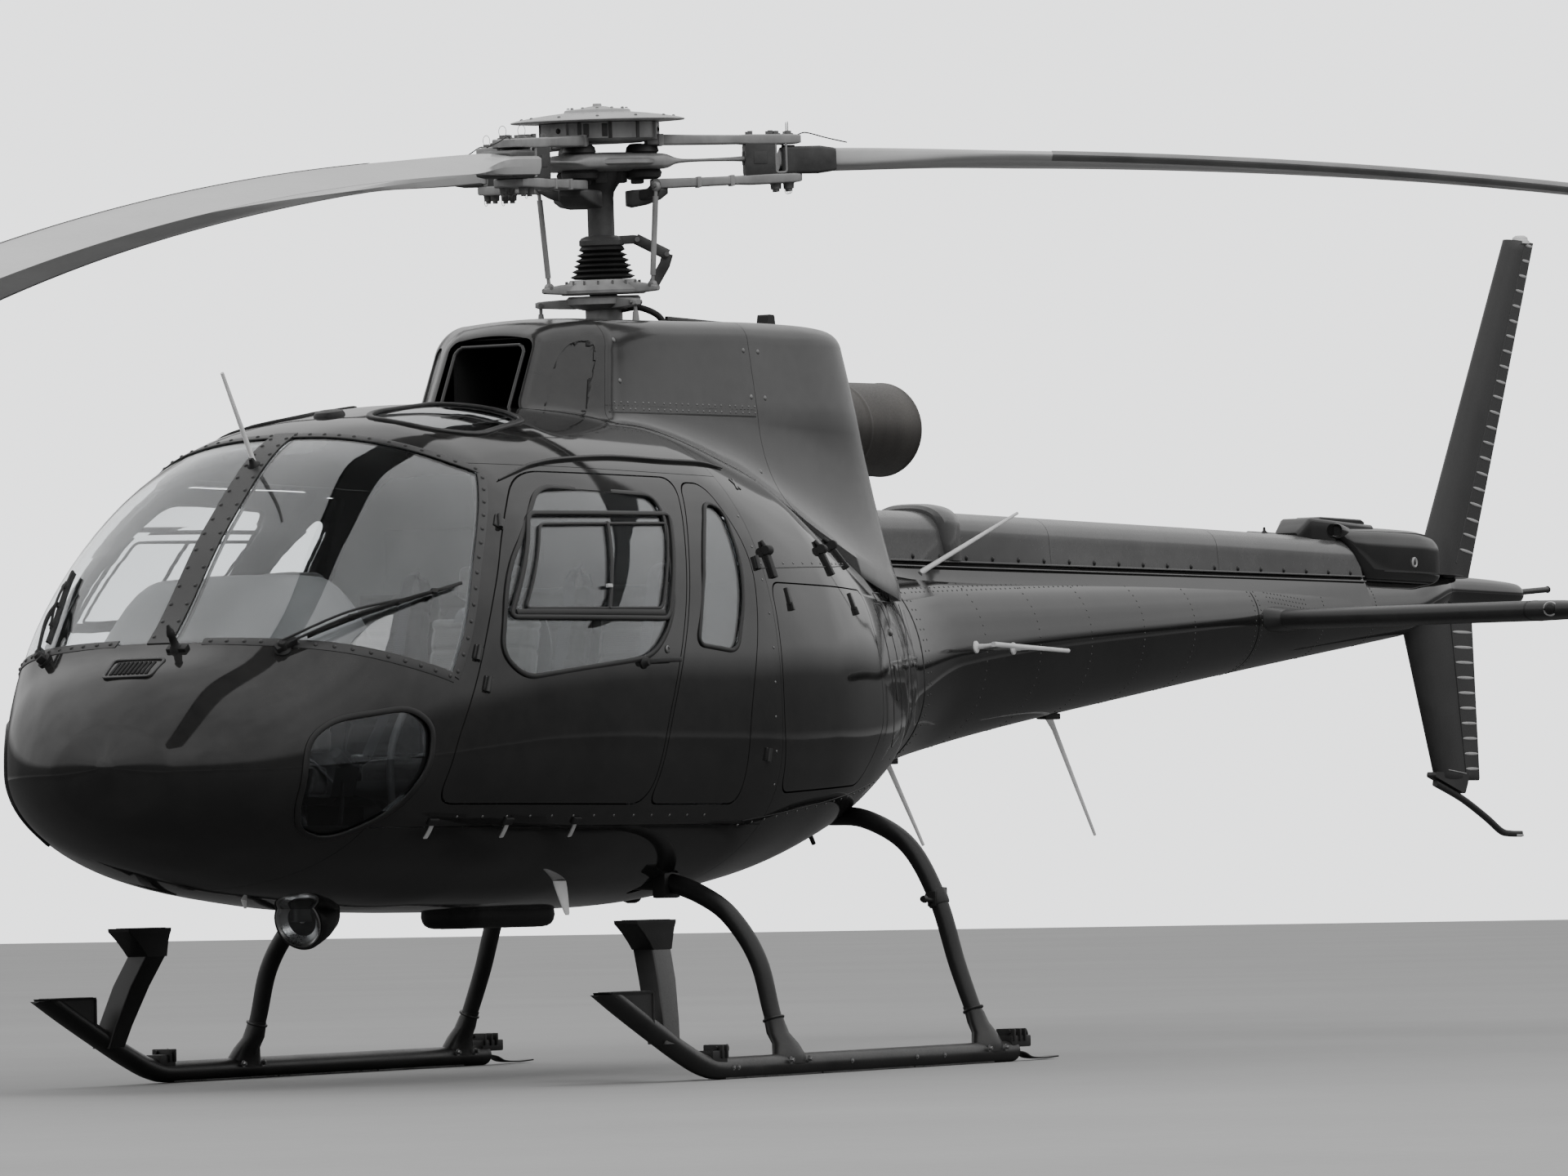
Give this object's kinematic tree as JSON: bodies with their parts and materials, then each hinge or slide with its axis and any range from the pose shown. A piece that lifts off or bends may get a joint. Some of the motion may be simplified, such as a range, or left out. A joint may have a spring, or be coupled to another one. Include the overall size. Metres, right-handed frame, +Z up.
{
  "type": "light helicopter",
  "caption": "Light single-engine helicopter on skids, with a glazed cabin, hinged side doors, a baggage bay, an open rotor head, drooping main blades and a side-mounted tail rotor.",
  "frame": {"origin": "On the ground, under the middle of the whole machine measured over its parked blades; the foot of the rotor mast line is at x = 1.34 m, y = 0.21 m", "axes": "+X towards the nose, +Y to port, +Z up"},
  "size_m": [13.3275, 9.4034, 3.3244],
  "materials": {
    "body_gloss": "polished near-black paint over composite panels",
    "satin_fins": "satin black paint over light composite",
    "satin_black": "satin black paint",
    "glazing": "clear, lightly tinted acrylic",
    "steel": "satin machined steel",
    "cast_grey": "matt cast alloy",
    "machinery": "dull cast metal",
    "rubber": "matt black rubber",
    "blade": "dark grey composite with a satin coat",
    "cloth": "pale woven cloth",
    "interior_trim": "dark grained plastic"
  },
  "bodies": {
    "airframe": {"canopy_shell": "body_gloss", "roof_panel": "body_gloss", "belly_panel": "body_gloss", "rear_shell": "body_gloss", "intake_cowling": "body_gloss", "middle_cowling": "body_gloss", "rear_cowling": "body_gloss", "drive_shaft_cover": "body_gloss", "tail_gearbox_fairing": "body_gloss", "tail_boom": "body_gloss", "tail_section": "body_gloss", "upper_fin": "satin_fins", "lower_fin": "satin_fins", "stabiliser": "satin_fins", "tail_skid": "satin_black", "front_cross_tube": "satin_black", "rear_cross_tube": "satin_black", "skid_port": "satin_black", "skid_starboard": "satin_black", "landing_light": "satin_black", "windscreen_port": "glazing", "windscreen_starboard": "glazing", "chin_window_port": "glazing", "chin_window_starboard": "glazing", "roof_window_port": "glazing", "roof_window_starboard": "glazing", "exhaust_pipe": "steel", "fixed_swashplate": "steel", "engine_deck": "cast_grey", "engine_block": "machinery", "gearbox_block": "machinery", "belly_pod": "rubber", "front_seat_port": "cloth", "front_seat_starboard": "cloth", "rear_bench": "cloth", "cabin_floor": "interior_trim", "rear_bulkhead": "interior_trim", "instrument_console": "interior_trim"},
    "main_rotor": {"rotor_mast": "steel", "head_dome": "cast_grey", "rotor_head": "steel", "main_blade_1": "blade", "main_blade_2": "blade", "main_blade_3": "blade", "rotating_swashplate": "steel", "mast_bellows": "rubber"},
    "tail_rotor": {"tail_rotor_hub": "steel", "tail_rotor_blades": "blade"},
    "front_door_port": {"front_door_port": "body_gloss", "front_door_glass_port": "glazing"},
    "front_door_starboard": {"front_door_starboard": "body_gloss", "front_door_glass_starboard": "glazing"},
    "rear_door_port": {"rear_door_port": "body_gloss", "rear_door_glass_port": "glazing"},
    "rear_door_starboard": {"rear_door_starboard": "body_gloss", "rear_door_glass_starboard": "glazing"},
    "baggage_door_port": {"baggage_door_port": "body_gloss"},
    "baggage_door_starboard": {"baggage_door_starboard": "body_gloss"}
  },
  "joints": [
    {"name": "main_rotor_spin", "type": "hinge", "parent": "airframe", "child": "main_rotor", "pos_m": [1.372, 0.21, 3.118], "axis": [0.061, 0.0174, 0.998], "continuous": true},
    {"name": "tail_rotor_spin", "type": "hinge", "parent": "airframe", "child": "tail_rotor", "pos_m": [-5.28, -0.12, 1.89], "axis": [0, 1, 0], "continuous": true},
    {"name": "front_door_port_hinge", "type": "hinge", "parent": "airframe", "child": "front_door_port", "pos_m": [3.5735, 1.016, 1.55], "axis": [0.5689, 0.0656, -0.8198], "range_deg": [0, 70]},
    {"name": "front_door_starboard_hinge", "type": "hinge", "parent": "airframe", "child": "front_door_starboard", "pos_m": [3.5735, -0.596, 1.55], "axis": [-0.5689, 0.0656, 0.8198], "range_deg": [0, 70]},
    {"name": "rear_door_port_hinge", "type": "hinge", "parent": "airframe", "child": "rear_door_port", "pos_m": [1.8745, 1.1075, 1.375], "axis": [-0.1179, -0.2035, 0.972], "range_deg": [0, 70]},
    {"name": "rear_door_starboard_hinge", "type": "hinge", "parent": "airframe", "child": "rear_door_starboard", "pos_m": [1.8745, -0.6875, 1.375], "axis": [0.1179, -0.2035, -0.972], "range_deg": [0, 70]},
    {"name": "baggage_door_port_hinge", "type": "hinge", "parent": "airframe", "child": "baggage_door_port", "pos_m": [1.28, 1.0525, 1.7075], "axis": [0.9929, 0.1139, 0.0341], "range_deg": [0, 85]},
    {"name": "baggage_door_starboard_hinge", "type": "hinge", "parent": "airframe", "child": "baggage_door_starboard", "pos_m": [1.28, -0.6325, 1.7075], "axis": [-0.9929, 0.1139, -0.0341], "range_deg": [0, 85]}
  ]
}
